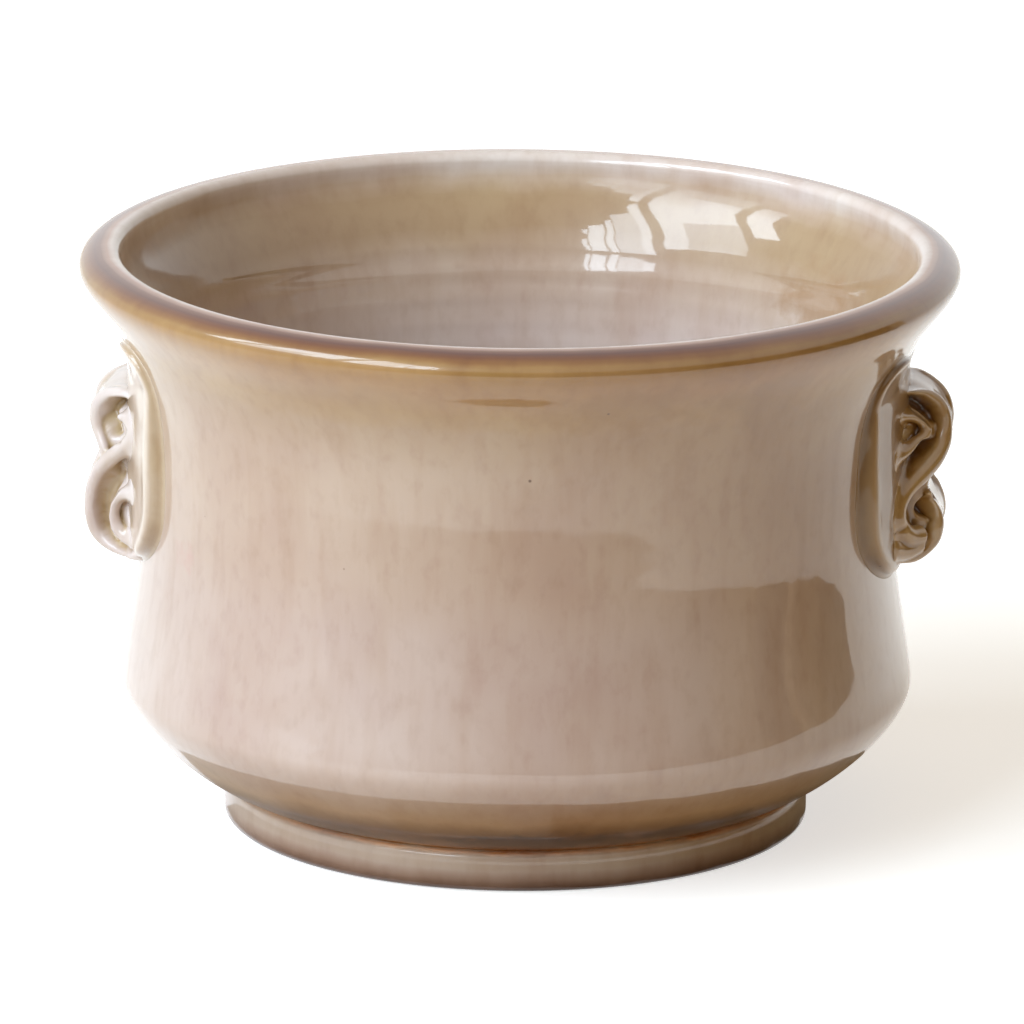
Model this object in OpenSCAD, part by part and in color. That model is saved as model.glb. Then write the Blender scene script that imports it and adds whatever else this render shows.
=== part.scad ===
// Small wheel-thrown flower pot: a bellied bowl with a waisted neck and a flared rim,
// a turned foot ring, and on each side a scroll ear luted to an oval-cornered pad.
// The origin is the centre of the foot, +Z is up, and the ears lie along X.

/* [Pot] */
// Diameter across the outside of the lip
rim_d = 180; // [150:1:215]
// Height from the foot to the crest of the lip
pot_h = 119.5; // [110:0.5:140]
// How far the neck is drawn in at its waist, from the outermost line of the lip
waist_inset = 13.2; // [11:0.2:16]
// How far the waist lies below the crest of the lip
waist_drop = 52.1; // [48:0.1:60]
// How far the belly swells out past the waist
belly_swell = 4.4; // [3:0.2:7]
// Thickness of the thrown wall
wall_t = 6.5; // [4:0.5:8]
// Thickness of the floor
floor_t = 7; // [5:0.5:10]

/* [Lip] */
// Height of the lip bead, from the end of the flare to the crest
lip_h = 12.8; // [10:0.2:15]
// How far the lip stands out from the end of the flare
lip_overhang = 5.7; // [4:0.1:7]
// Slope of the flare at its end, from level
flare_angle = 55; // [48:1:62]
// Width of the slope from the crest out to the edge of the lip
lip_slope_w = 6.5; // [5:0.5:8]
// Drop of that slope
lip_slope_h = 4; // [3:0.5:5]
// Rounding of the inner edge of the lip
lip_round = 2.1; // [1:0.1:3]

/* [Foot] */
// Outer diameter of the foot ring
foot_d = 120; // [100:1:140]
// Height of the foot ring
foot_h = 8.3; // [6:0.1:11]
// Width of the foot ring
foot_w = 10; // [7:0.5:14]
// Rounding of its lower outer edge
foot_round = 2.5; // [1:0.5:3.5]
// Depth of the groove between foot and bowl
groove_depth = 2.4; // [1:0.2:4]
// Height of the sloped shoulder below the groove
groove_h = 2; // [1:0.2:2.4]
// Slope of the bowl where it leaves the groove, from level
bowl_angle = 12; // [6:1:20]

/* [Drain hole] */
// Diameter of the hole in the middle of the floor
drain_d = 14; // [6:1:24]

/* [Pads] */
// Width of a pad round the neck
pad_w = 62.5; // [56:0.5:72]
// Height of a pad
pad_h = 53.5; // [50:0.5:54]
// How far the middle of a pad lies below the crest of the lip
pad_drop = 41.8; // [40.5:0.1:43]
// Thickness of a pad over the waist
pad_t = 3.4; // [2.4:0.1:4.4]
// Rounding of its upper corners
pad_top_round = 12; // [6:1:22]
// Rounding of its lower corners
pad_bottom_round = 20; // [12:1:24]

/* [Scroll ears] */
// How far the middle of an ear lies below the crest of the lip
ear_drop = 45.5; // [44.5:0.1:46.5]
// Width of an ear where it leaves the pad
ear_root_w = 25; // [22:0.5:28]
// Width of its nose
ear_nose_w = 4; // [3:0.5:6]
// How far each scrolled side slants in towards the nose
ear_slant = 48.8; // [46:0.2:52]
// Width of the strap that draws the scroll
strap_w = 3.6; // [2.4:0.1:4]
// How far the strap stands off the side face, across the ear
strap_h = 3; // [1.8:0.1:3.4]
// Radius of the larger volute, to the middle of its strap
big_volute_r = 8.2; // [7.4:0.1:8.4]
// Distance of its middle from the middle of the ear
big_volute_z = 10.3; // [9.8:0.1:10.8]
// Outer radius of the ring inside the larger volute
eye_ring_r = 4.2; // [3.4:0.1:4.6]
// Radius of the smaller volute, to the middle of its strap
small_volute_r = 6.9; // [6.3:0.1:7.2]
// Distance of its middle from the middle of the ear
small_volute_z = 9.6; // [9.4:0.1:10.2]
// Radius of the curl that ends the smaller volute
curl_r = 2.4; // [2:0.1:2.8]
// Radius of the two eyes
eye_r = 1.4; // [0.6:0.1:1.6]
// Depth of the eyes, across the ear
eye_depth = 3; // [1.5:0.1:3.4]

/* [Hidden] */
$fn = 96;
// Straight steps along each curve of the profile
curve_steps = 14;
// How far a cut or a stock block runs past the face that it meets
overrun = 2;
// How far the stock of an ear runs back behind the face of the pad before it is cut to it
root_depth = 4;
// Places of the volutes out from the face of the pad
big_volute_out = 0.5;
small_volute_out = 0.3;
eye_ring_out = 0.2;
// Directions at which the strap leaves the volutes for the pad
big_volute_top = 70;
big_volute_end = -58;
small_volute_end = -80;
curl_start = 50;
// Where the outline of the ear turns from one volute to the other
big_notch = -66;
small_notch = 62;
// Share of the strap's width that the ear's core fills behind it
core_fill_share = 0.8;
// Width of the volutes as a share of their height
volute_narrow_share = 0.865;
// How hard each curve of the profile pulls at its two ends, in shares of its height or width
bowl_pull_shares = [0.455, 0.28];
belly_pull_shares = [0.14, 0.38];
neck_pull_shares = [0.52, 0.30];
lip_edge_pull_shares = [0.56, 0.17];
lip_top_pull_shares = [0.6, 0.5];
floor_pull_shares = [0.6, 0.45];
// Flat part of the floor inside, as a share of the belly's inner radius
floor_flat_share = 0.7;
// Place of the widest part of the belly between the foot and the waist
belly_rise_share = 0.357;

rim_r = rim_d / 2;
waist_r = rim_r - waist_inset;
waist_z = pot_h - waist_drop;
belly_r = waist_r + belly_swell;
belly_z = foot_h + belly_rise_share * (waist_z - foot_h);
foot_r = foot_d / 2;
groove_r = foot_r - groove_depth;
floor_z = foot_h + floor_t;
flare_r = rim_r - lip_overhang;
flare_z = pot_h - lip_h;
flare_way = [cos(flare_angle), sin(flare_angle)];
crest = [rim_r - lip_slope_w, pot_h];
pad_z = pot_h - pad_drop;
face_r = waist_r + pad_t;
ear_z = pot_h - ear_drop;
nose_r = face_r + (ear_root_w - ear_nose_w) / 2 / tan(ear_slant);
curl_reach = small_volute_r - curl_r;
curl_out = small_volute_out + curl_reach * cos(curl_start);
curl_z = curl_reach * sin(curl_start) - small_volute_z;

// Points of a cubic curve from a to d, pulled towards b and c, without its first point
function curve(a, b, c, d) = [
    for (i = [1:curve_steps])
        let (t = i / curve_steps, s = 1 - t)
            s * s * s * a + 3 * s * s * t * b + 3 * s * t * t * c + t * t * t * d
];

// Points of an arc about a centre
function arc(centre, r, from, to) = [
    for (i = [0:curve_steps])
        let (a = from + (to - from) * i / curve_steps)
            centre + r * [cos(a), sin(a)]
];

function reversed(points) = [for (i = [len(points) - 1:-1:0]) points[i]];

// Curve of the neck from the waist up to the end of the flare, for a wall face set in by t
function neck_curve(t) =
    let (
        rise = flare_z - waist_z,
        waist = [waist_r - t, waist_z],
        flare = [flare_r, flare_z] + t * [-flare_way.y, flare_way.x]
    )
        curve(
            waist,
            waist + [0, neck_pull_shares[0] * rise],
            flare - neck_pull_shares[1] * rise * flare_way,
            flare
        );

// Curve of the belly up to the waist, for a wall face set in by t
function belly_curve(t) =
    let (
        rise = waist_z - belly_z,
        belly = [belly_r - t, belly_z],
        waist = [waist_r - t, waist_z]
    )
        curve(
            belly,
            belly + [0, belly_pull_shares[0] * rise],
            waist - [0, belly_pull_shares[1] * rise],
            waist
        );

// Outer face of the bowl, from the groove over the foot to the widest part of the belly
function bowl_curve() =
    let (
        groove = [groove_r, foot_h],
        belly = [belly_r, belly_z],
        pull = bowl_pull_shares[0] * (belly_r - groove_r)
    )
        curve(
            groove,
            groove + pull * [cos(bowl_angle), sin(bowl_angle)],
            belly - [0, bowl_pull_shares[1] * (belly_z - foot_h)],
            belly
        );

// Rolled edge of the lip, from the end of the flare over its outermost line to the crest
function lip_curve() =
    let (
        flare = [flare_r, flare_z],
        edge = [rim_r, pot_h - lip_slope_h]
    )
        concat(
            curve(
                flare,
                flare + lip_edge_pull_shares[0] * lip_overhang * flare_way,
                edge - [0, lip_edge_pull_shares[1] * lip_h],
                edge
            ),
            curve(
                edge,
                edge + [0, lip_top_pull_shares[0] * lip_slope_h],
                crest + [lip_top_pull_shares[1] * lip_slope_w, 0],
                crest
            )
        );

// Inner edge of the lip, from the end of the inner neck to the crest
function lip_inner_curve() =
    let (
        start = neck_curve(wall_t)[curve_steps - 1],
        corner = crest - [lip_round, lip_round],
        climb = (corner.y - start.y) / 2
    )
        concat(
            curve(start, start + climb * flare_way, corner - [0, climb], corner),
            arc(crest - [0, lip_round], lip_round, 180, 90)
        );

// Inner face of the bowl, from the flat of the floor to the belly
function floor_curve() =
    let (
        belly = [belly_r - wall_t, belly_z],
        edge = [floor_flat_share * belly.x, floor_z]
    )
        concat([edge], curve(
            edge,
            edge + [floor_pull_shares[0] * (belly.x - edge.x), 0],
            belly - [0, floor_pull_shares[1] * (belly_z - floor_z)],
            belly
        ));

// Outer face from the groove up to the waist
function body_face() = concat([[groove_r, foot_h]], bowl_curve(), belly_curve(0));

// The floor and the wall as far up as the waist
module pot_body() {
    inside = concat(floor_curve(), belly_curve(wall_t));
    color("#cdbbab")
        difference() {
            rotate_extrude()
                polygon(concat([[0, foot_h]], body_face(), reversed(inside), [[0, floor_z]]));
            translate([0, 0, foot_h - overrun])
                cylinder(d = drain_d, h = floor_t + 2 * overrun);
        }
}

// The wall from the waist up, with its lip
module flared_rim() {
    outside = concat([[waist_r, waist_z]], neck_curve(0), lip_curve());
    inside = concat([[waist_r - wall_t, waist_z]], neck_curve(wall_t), lip_inner_curve());
    color("#c9b49f")
        rotate_extrude()
            polygon(concat(outside, reversed(inside)));
}

module foot_ring() {
    color("#8f735b")
        rotate_extrude()
            polygon(concat(
                [[foot_r - foot_w, 0]],
                arc([foot_r - foot_round, foot_round], foot_round, -90, 0),
                [[foot_r, foot_h - groove_h], [groove_r, foot_h], [foot_r - foot_w, foot_h]]
            ));
}

// The pot filled solid as far up as the flare
module filled_pot() {
    rotate_extrude()
        polygon(concat([[0, foot_h]], body_face(), neck_curve(0), [[0, flare_z]]));
}

// Outline of a pad about its own middle
module pad_outline() {
    side = pad_w / 2;
    top = pad_h / 2 - pad_top_round;
    bottom = pad_bottom_round - pad_h / 2;
    polygon(concat(
        arc([side - pad_top_round, top], pad_top_round, 0, 90),
        arc([pad_top_round - side, top], pad_top_round, 90, 180),
        arc([pad_bottom_round - side, bottom], pad_bottom_round, 180, 270),
        arc([side - pad_bottom_round, bottom], pad_bottom_round, 270, 360)
    ));
}

// A pad on the +X side: a plate round the neck whose upright face runs out in the flare
module pad() {
    difference() {
        intersection() {
            cylinder(r = face_r, h = pot_h);
            translate([0, 0, pad_z])
                rotate([90, 0, 90])
                    linear_extrude(height = rim_r)
                        pad_outline();
        }
        filled_pot();
    }
}

// Where a straight strap that leaves an arc's end point at angle way ends, behind the pad's face
function root(start, way) = start + (start.x + root_depth) / abs(cos(way)) * [cos(way), sin(way)];

// Points of a drawing with round volutes, brought to the width that the volutes have
function narrowed(points) = [for (p = points) [p.x * volute_narrow_share, p.y]];

// Points moved off a path by d, to its left
function beside(path, d) = [
    for (i = [0:len(path) - 1])
        let (
            before = path[max(i - 1, 0)],
            after = path[min(i + 1, len(path) - 1)],
            along = (after - before) / norm(after - before)
        )
            path[i] + d * [-along.y, along.x]
];

// Outline of a strap along a path
module strap(path) {
    edges = concat(beside(path, strap_w / 2), reversed(beside(path, -strap_w / 2)));
    polygon(narrowed(edges));
}

// The scroll seen from the front, with X out from the pad and Y up
module scroll_line() {
    big = arc([big_volute_out, big_volute_z], big_volute_r, big_volute_top, big_volute_end);
    small_middle = [small_volute_out, -small_volute_z];
    small = arc(small_middle, small_volute_r, small_volute_end, curl_start);
    curl = arc([curl_out, curl_z], curl_r, curl_start, curl_start + 180);
    strap(concat(
        [root(big[0], big_volute_top + 90)],
        big,
        [root(big[curve_steps], big_volute_end - 90)]
    ));
    strap(concat([root(small[0], small_volute_end - 90)], small, [for (i = [1:curve_steps]) curl[i]]));
    translate([eye_ring_out, big_volute_z])
        circle(r = eye_ring_r);
}

// The two eyes, seen from the front
module scroll_eyes() {
    for (eye = [[eye_ring_out, big_volute_z], [curl_out * volute_narrow_share, curl_z]])
        translate(eye)
            circle(r = eye_r);
}

// Outline of the ear's core, seen from the front
module core_outline() {
    fill = core_fill_share * strap_w / 2;
    big = [big_volute_out, big_volute_z];
    small = [small_volute_out, -small_volute_z];
    big_round = arc(big, big_volute_r + fill, big_volute_top, big_notch);
    small_round = arc(small, small_volute_r + fill, small_notch, small_volute_end);
    polygon(narrowed(concat(
        [root(big_round[0], big_volute_top + 90)],
        big_round,
        small_round,
        [root(small_round[curve_steps], small_volute_end - 90)]
    )));
}

// Stock between the two slanted side faces, each moved out by more
module between_sides(more) {
    root_r = face_r - root_depth;
    root_y = ear_root_w / 2 + root_depth * tan(ear_slant) + more;
    nose_y = ear_nose_w / 2 + more;
    linear_extrude(height = 2 * pot_h, center = true)
        polygon([[root_r, -root_y], [nose_r, -nose_y], [nose_r, nose_y], [root_r, root_y]]);
}

// A drawing seen from the front, carried right across the ear
module across_ear() {
    translate([face_r, 0, 0])
        rotate([90, 0, 0])
            linear_extrude(height = 2 * rim_r, center = true)
                children();
}

// An ear on the +X side, the larger volute up, cut to sit on the face of the pad
module ear(side_turn) {
    difference() {
        translate([0, 0, ear_z])
            rotate([side_turn, 0, 0])
                difference() {
                    union() {
                        intersection() {
                            across_ear() core_outline();
                            between_sides(0);
                        }
                        intersection() {
                            across_ear() scroll_line();
                            between_sides(strap_h);
                        }
                    }
                    difference() {
                        across_ear() scroll_eyes();
                        between_sides(-eye_depth);
                    }
                }
        cylinder(r = face_r, h = pot_h);
    }
}

module right_pad() {
    color("#b9a28c")
        pad();
}

module left_pad() {
    color("#d6c8bb")
        mirror([1, 0, 0])
            pad();
}

module right_scroll() {
    color("#a68d72")
        ear(0);
}

module left_scroll() {
    color("#c9b7a3")
        mirror([1, 0, 0])
            ear(180);
}

pot_body();
flared_rim();
foot_ring();
left_pad();
left_scroll();
right_pad();
right_scroll();
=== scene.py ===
import bpy
import math
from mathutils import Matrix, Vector, noise


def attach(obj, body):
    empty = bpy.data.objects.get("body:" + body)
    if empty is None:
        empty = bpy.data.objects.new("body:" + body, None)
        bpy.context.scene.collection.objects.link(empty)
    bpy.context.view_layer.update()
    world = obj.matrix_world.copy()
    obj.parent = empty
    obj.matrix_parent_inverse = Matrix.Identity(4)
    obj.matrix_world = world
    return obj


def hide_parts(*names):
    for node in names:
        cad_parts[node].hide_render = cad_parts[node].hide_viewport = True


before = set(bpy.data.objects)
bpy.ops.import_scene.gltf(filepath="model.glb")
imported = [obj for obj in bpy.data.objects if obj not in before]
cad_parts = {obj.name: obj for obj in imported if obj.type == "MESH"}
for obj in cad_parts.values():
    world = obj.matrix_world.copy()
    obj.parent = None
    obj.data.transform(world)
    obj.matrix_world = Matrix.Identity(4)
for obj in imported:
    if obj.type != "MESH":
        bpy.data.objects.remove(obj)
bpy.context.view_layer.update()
mm = 0.001
print("frame loaded")


# Camera, set first
view = {
    "target": (0, 0, 63.27), "turn": 2.9, "rise": 15.24, "distance": 2503,
    "pixelsPerMm": 4.872, "imageWidth": 1024, "poleAtPixel": 517.9, "roll": 0.5,
}


def addCamera(name, v):
    turn, rise = math.radians(v["turn"]), math.radians(v["rise"])
    away = Vector((math.sin(turn) * math.cos(rise), -math.cos(turn) * math.cos(rise), math.sin(rise)))
    bpy.ops.object.camera_add(location=Vector(v["target"]) * mm + away * v["distance"] * mm)
    camera = bpy.context.object
    camera.name = name
    camera.rotation_euler = (-away).to_track_quat("-Z", "Y").to_euler()
    camera.rotation_euler.rotate_axis("Z", math.radians(v["roll"]))
    camera.data.sensor_width = 36
    camera.data.lens = v["pixelsPerMm"] * v["distance"] / v["imageWidth"] * 36
    camera.data.shift_x = (v["imageWidth"] / 2 - v["poleAtPixel"]) / v["imageWidth"]
    camera.data.clip_end = 20
    bpy.context.scene.camera = camera
    return camera


addCamera("photo_view", view)
bpy.context.scene.view_settings.view_transform = "Standard"
print("camera set")


def deselectAll():
    if bpy.context.object and bpy.context.object.mode != "OBJECT":
        bpy.ops.object.mode_set(mode="OBJECT")
    bpy.ops.object.select_all(action="DESELECT")


def pick(*pieces):
    deselectAll()
    for piece in pieces:
        piece.select_set(True)
    bpy.context.view_layer.objects.active = pieces[0]
    return pieces[0]


def applyPlace(piece):
    pick(piece)
    bpy.ops.object.transform_apply(location=True, rotation=True, scale=True)


def modify(piece, kind, **settings):
    pick(piece)
    step = piece.modifiers.new(kind.lower(), kind)
    for key, value in settings.items():
        setattr(step, key, value)
    bpy.ops.object.modifier_apply(modifier=step.name)


def tidyMesh(piece, gap=0.01):
    pick(piece)
    bpy.ops.object.mode_set(mode="EDIT")
    bpy.ops.mesh.select_all(action="SELECT")
    bpy.ops.mesh.remove_doubles(threshold=gap * mm)
    bpy.ops.mesh.normals_make_consistent(inside=False)
    bpy.ops.object.mode_set(mode="OBJECT")


def smoothFaces(piece):
    pick(piece)
    bpy.ops.object.shade_smooth()


# Points of a cubic curve from a to d, pulled towards b and c, without its first point
def curvePoints(a, b, c, d, steps):
    out = []
    for i in range(1, steps + 1):
        t = i / steps
        s = 1 - t
        out.append(tuple(
            s * s * s * a[k] + 3 * s * s * t * b[k] + 3 * s * t * t * c[k] + t * t * t * d[k] for k in (0, 1)
        ))
    return out


# The thrown profile, with the same sizes as the solids
pot = {
    "rimR": 90, "height": 119.5, "waistR": 76.8, "waistZ": 67.4, "bellyR": 81.2, "bellyZ": 29.4,
    "wall": 6.5, "floor": 7, "flareR": 84.3, "flareZ": 106.7, "flareAngle": 55,
    "slopeW": 6.5, "slopeH": 4, "lipRound": 2.1, "lipH": 12.8, "overhang": 5.7,
    "grooveR": 57.6, "footH": 8.3, "bowlAngle": 12, "drainR": 7,
    # how far the handles of its curves reach, as shares of each curve's rise or width
    "waistUp": 0.52, "flareDown": 0.3, "bellyUp": 0.14, "waistDown": 0.38, "grooveOut": 0.455, "bellyDown": 0.28,
    "lipUp": 0.56, "edgeDown": 0.17, "edgeUp": 0.6, "crestOut": 0.5, "innerUp": 1.3, "cornerDown": 0.55,
    "floorEdge": 0.7, "floorOut": 0.6, "cornerUp": 0.45,
}
flareWay = (math.cos(math.radians(pot["flareAngle"])), math.sin(math.radians(pot["flareAngle"])))


def plus(a, b, k=1):
    return (a[0] + b[0] * k, a[1] + b[1] * k)


def neckPoints(t, steps):
    rise = pot["flareZ"] - pot["waistZ"]
    waist = (pot["waistR"] - t, pot["waistZ"])
    flare = (pot["flareR"] - t * flareWay[1], pot["flareZ"] + t * flareWay[0])
    below = plus(flare, flareWay, -pot["flareDown"] * rise)
    return curvePoints(waist, plus(waist, (0, rise), pot["waistUp"]), below, flare, steps)


def bellyPoints(t, steps):
    rise = pot["waistZ"] - pot["bellyZ"]
    belly, waist = (pot["bellyR"] - t, pot["bellyZ"]), (pot["waistR"] - t, pot["waistZ"])
    above, below = plus(belly, (0, rise), pot["bellyUp"]), plus(waist, (0, rise), -pot["waistDown"])
    return curvePoints(belly, above, below, waist, steps)


def bowlPoints(steps):
    groove, belly = (pot["grooveR"], pot["footH"]), (pot["bellyR"], pot["bellyZ"])
    pull = pot["grooveOut"] * (pot["bellyR"] - pot["grooveR"])
    angle = math.radians(pot["bowlAngle"])
    rise = pot["bellyZ"] - pot["footH"]
    outside = plus(groove, (math.cos(angle), math.sin(angle)), pull)
    return curvePoints(groove, outside, plus(belly, (0, rise), -pot["bellyDown"]), belly, steps)


def lipPoints(steps):
    flare, edge = (pot["flareR"], pot["flareZ"]), (pot["rimR"], pot["height"] - pot["slopeH"])
    crest = (pot["rimR"] - pot["slopeW"], pot["height"])
    leaving = plus(flare, flareWay, pot["lipUp"] * pot["overhang"])
    under = curvePoints(flare, leaving, plus(edge, (0, pot["lipH"]), -pot["edgeDown"]), edge, steps)
    above, beside = plus(edge, (0, pot["slopeH"]), pot["edgeUp"]), plus(crest, (pot["slopeW"], 0), pot["crestOut"])
    return under + curvePoints(edge, above, beside, crest, steps)


def lipInnerPoints(steps):
    start = neckPoints(pot["wall"], steps)[-1]
    crest = (pot["rimR"] - pot["slopeW"], pot["height"])
    corner = (crest[0] - pot["lipRound"], crest[1] - pot["lipRound"])
    climb = (corner[1] - start[1]) / 2
    below = plus(corner, (0, climb), -pot["cornerDown"])
    out = curvePoints(start, plus(start, flareWay, climb * pot["innerUp"]), below, corner, steps)
    for i in range(1, steps):
        angle = math.radians(180 - 90 * i / steps)
        out.append((crest[0] + pot["lipRound"] * math.cos(angle), corner[1] + pot["lipRound"] * math.sin(angle)))
    return out


def floorPoints(steps):
    belly = (pot["bellyR"] - pot["wall"], pot["bellyZ"])
    floorZ = pot["footH"] + pot["floor"]
    edge = (pot["floorEdge"] * belly[0], floorZ)
    beside = plus(edge, (belly[0] - edge[0], 0), pot["floorOut"])
    below = plus(belly, (0, pot["bellyZ"] - floorZ), -pot["cornerUp"])
    return [edge] + curvePoints(edge, beside, below, belly, steps)


# Pot body: one outline spun round the pole. Throwing rings climb inside, above ringFrom on the outline's run
body = {
    "steps": 288, "ringPitch": 5.2, "ringDepth": 0.16, "ringFrom": 150, "ringLow": 20, "ringSize": 20,
    "unevenness": 0.5, "unevenSize": 45, "unevenStretch": 1.6, "plainR": 30, "plainZ": 9.5,
}


# A closed outline in r and z is laid on a circle's vertices and spun into a solid
def spinOutline(name, outline, steps):
    deselectAll()
    bpy.ops.mesh.primitive_circle_add(vertices=len(outline), radius=0.05, fill_type="NOTHING")
    piece = bpy.context.object
    piece.name = name
    for vertex, (r, z) in zip(piece.data.vertices, outline):
        vertex.co = (r * mm, 0, z * mm)
    bpy.ops.object.mode_set(mode="EDIT")
    bpy.ops.mesh.select_all(action="SELECT")
    bpy.ops.mesh.spin(steps=steps, angle=math.tau, center=(0, 0, 0), axis=(0, 0, 1))
    bpy.ops.object.mode_set(mode="OBJECT")
    tidyMesh(piece)
    return piece


def potOutline():
    floorZ = pot["footH"] + pot["floor"]
    drainR = pot["drainR"]
    under = [(r, pot["footH"]) for r in (drainR + 1.2, 20, 35, 50, pot["grooveR"])]
    outside = bowlPoints(30) + bellyPoints(0, 26) + neckPoints(0, 26) + lipPoints(12)
    inside = floorPoints(18) + bellyPoints(pot["wall"], 26) + neckPoints(pot["wall"], 26) + lipInnerPoints(8)
    floor = [(r, floorZ) for r in (drainR + 1.2, 12, 20, 30, 41)]
    drain = [
        (drainR + 0.35, floorZ - 0.35), (drainR, floorZ - 1.2), (drainR, pot["footH"] + 3.5),
        (drainR, pot["footH"] + 1.2), (drainR + 0.35, pot["footH"] + 0.35),
    ]
    return under + outside + list(reversed(floor + inside)) + drain


potBody = spinOutline("thrown_body", potOutline(), body["steps"])
print("body spun", len(potBody.data.vertices))


# Length along the outline from the groove over the lip to the drain hole, kept on each vertex for the glaze
def storeRun(piece, attribute):
    line = [(pot["grooveR"], pot["footH"])] + bowlPoints(60) + bellyPoints(0, 60) + neckPoints(0, 60) + lipPoints(30)
    inside = floorPoints(40) + bellyPoints(pot["wall"], 60) + neckPoints(pot["wall"], 60) + lipInnerPoints(20)
    line += list(reversed(inside))
    line.append((pot["drainR"], pot["footH"] + pot["floor"]))
    runs = [0]
    for a, b in zip(line, line[1:]):
        runs.append(runs[-1] + math.dist(a, b))
    cache = {}
    layer = piece.data.attributes.new(attribute, "FLOAT", "POINT")
    values = []
    for vertex in piece.data.vertices:
        r, z = math.hypot(vertex.co.x, vertex.co.y) / mm, vertex.co.z / mm
        key = (round(r, 2), round(z, 2))
        if key not in cache:
            nearest = min(range(len(line)), key=lambda i: (line[i][0] - r) ** 2 + (line[i][1] - z) ** 2)
            glazed = z > pot["footH"] + 0.01 or r > pot["grooveR"] - 0.5
            cache[key] = runs[nearest] if glazed else 0
        values.append(cache[key])
    layer.data.foreach_set("value", values)
    print("outline run", round(runs[-1], 1), "lip crest at", round(runs[180 + 60], 1))


storeRun(potBody, "glazeRun")


# Throwing rings climb in a shallow spiral inside, and the whole wall is slightly uneven
def throwUnevenly(piece, b):
    for vertex in piece.data.vertices:
        x, y, z = vertex.co
        r = math.hypot(x, y)
        if r < b["plainR"] * mm or z < b["plainZ"] * mm:
            continue
        out = Vector((x / r, y / r, 0))
        turn = math.atan2(y, x) / math.tau
        inside = piece.data.attributes["glazeRun"].data[vertex.index].value > b["ringFrom"]
        stretched = Vector((x, y, z * b["unevenStretch"]))
        slow = noise.noise(stretched / (b["unevenSize"] * mm)) * b["unevenness"] * 0.5
        ring = 0
        if inside and z > b["ringLow"] * mm:
            ring = b["ringDepth"] * math.sin(math.tau * (z / mm / b["ringPitch"] + turn))
            ring *= 0.6 + 0.4 * noise.noise(Vector((x, y, z)) / (b["ringSize"] * mm))
        vertex.co += out * (slow + ring) * mm


throwUnevenly(potBody, body)
smoothFaces(potBody)
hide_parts("pot_body", "flared_rim")
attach(potBody, "root")


# Foot ring: turned, with a small round at the bottom, and a groove under the bowl that grooveH leaves open
foot = {
    "outerR": 60, "innerR": 50, "height": 8.3, "round": 1.1, "roundSteps": 8, "flat": 1.5, "grooveH": 0.75,
    "steps": 224,
}


def footOutline(f):
    outer, inner, height = f["outerR"], f["innerR"], f["height"]
    points = [(inner + 0.8, 0.0), (inner + 3.5, 0.0), (outer - f["round"] - f["flat"], 0.0)]
    for i in range(f["roundSteps"] + 1):
        angle = math.radians(-90 + 90 * i / f["roundSteps"])
        points.append((outer - f["round"] + f["round"] * math.cos(angle), f["round"] + f["round"] * math.sin(angle)))
    top = height - f["grooveH"]
    points += [(outer, 3.6), (outer, 5.6), (outer - 0.05, top - 0.5), (outer - 0.3, top), (outer - 1.0, top + 0.4)]
    points += [
        (pot["grooveR"] + 0.25, height - 0.45), (pot["grooveR"] - 0.6, height + 0.05),
        (pot["grooveR"] - 2, height + 0.15), (inner + 2, height + 0.1), (inner, height + 0.1), (inner, 5.5),
        (inner, 3), (inner, 0.8), (inner + 0.25, 0.25),
    ]
    return points


footRing = spinOutline("turned_foot_ring", footOutline(foot), foot["steps"])
smoothFaces(footRing)
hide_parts("foot_ring")
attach(footRing, "root")
print("foot ring spun")


# Pads: a plate round the neck, laid out as rings that shrink from the outline to the middle
pad = {
    "faceR": 80.2, "columns": 220, "innerRings": 16, "faceShare": 0.94,
    # thickness: how thin it runs out below and from where, and what it keeps to over the flare
    "thinnest": 0.35, "fadeFrom": 51, "fadeHeight": 10, "flareFrom": 75,
    "thinAtFlare": 0.3, "thickAtFlare": 1.5, "flareMiddle": 9, "flareReach": 14,
    # half of the outline, out to the side and up
    "outline": [
        (0, 54.8), (8, 55.1), (14.5, 56), (19.5, 57.5), (23.8, 59.8), (27.2, 62.9), (29.6, 67), (30.6, 72),
        (30.9, 78), (31, 85), (31.2, 91), (31.2, 96), (30.6, 99.4), (28.6, 101.8), (25.2, 102.8),
        (20.5, 102.6), (15, 101.6), (9, 100.8), (0, 100.3),
    ],
    # rings across the edge: how far outside the outline, share of the thickness there, and how deep glaze pools,
    # together with painted shade in the crease at the pad's foot. A share below zero is set into the wall
    "edge": [
        (-1.2, -0.6, 0.3), (1.1, -0.03, 0.3), (0.6, 0.05, 0.7), (0.3, 0.16, 0.9), (0.1, 0.34, 0.9),
        (0.0, 0.55, 0.7), (-0.08, 0.74, 0.45), (-0.22, 0.88, 0.0), (-0.5, 0.97, -0.6), (-0.95, 1.0, -0.7),
        (-1.7, 1.0, -0.2), (-2.8, 0.96, 0.1), (-4.2, 0.94, 0.0),
    ],
    "setIn": 3.4, "backDepth": 2,
    "unevenness": 0.22, "unevenSize": 11,
}


# Points of a smooth line through the points given, any number of values each
def smoothLine(points, steps, closed=False):
    count = len(points)
    out = []
    for i in range(count if closed else count - 1):
        around = [points[(i + k) % count if closed else min(max(i + k, 0), count - 1)] for k in (-1, 0, 1, 2)]
        for j in range(steps):
            t = j / steps
            out.append(tuple(
                0.5 * (2 * b + (c - a) * t + (2 * a - 5 * b + 4 * c - d) * t * t + (3 * b - a - 3 * c + d) * t ** 3)
                for a, b, c, d in zip(*around)
            ))
    if not closed:
        out.append(tuple(points[-1]))
    return out


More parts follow.
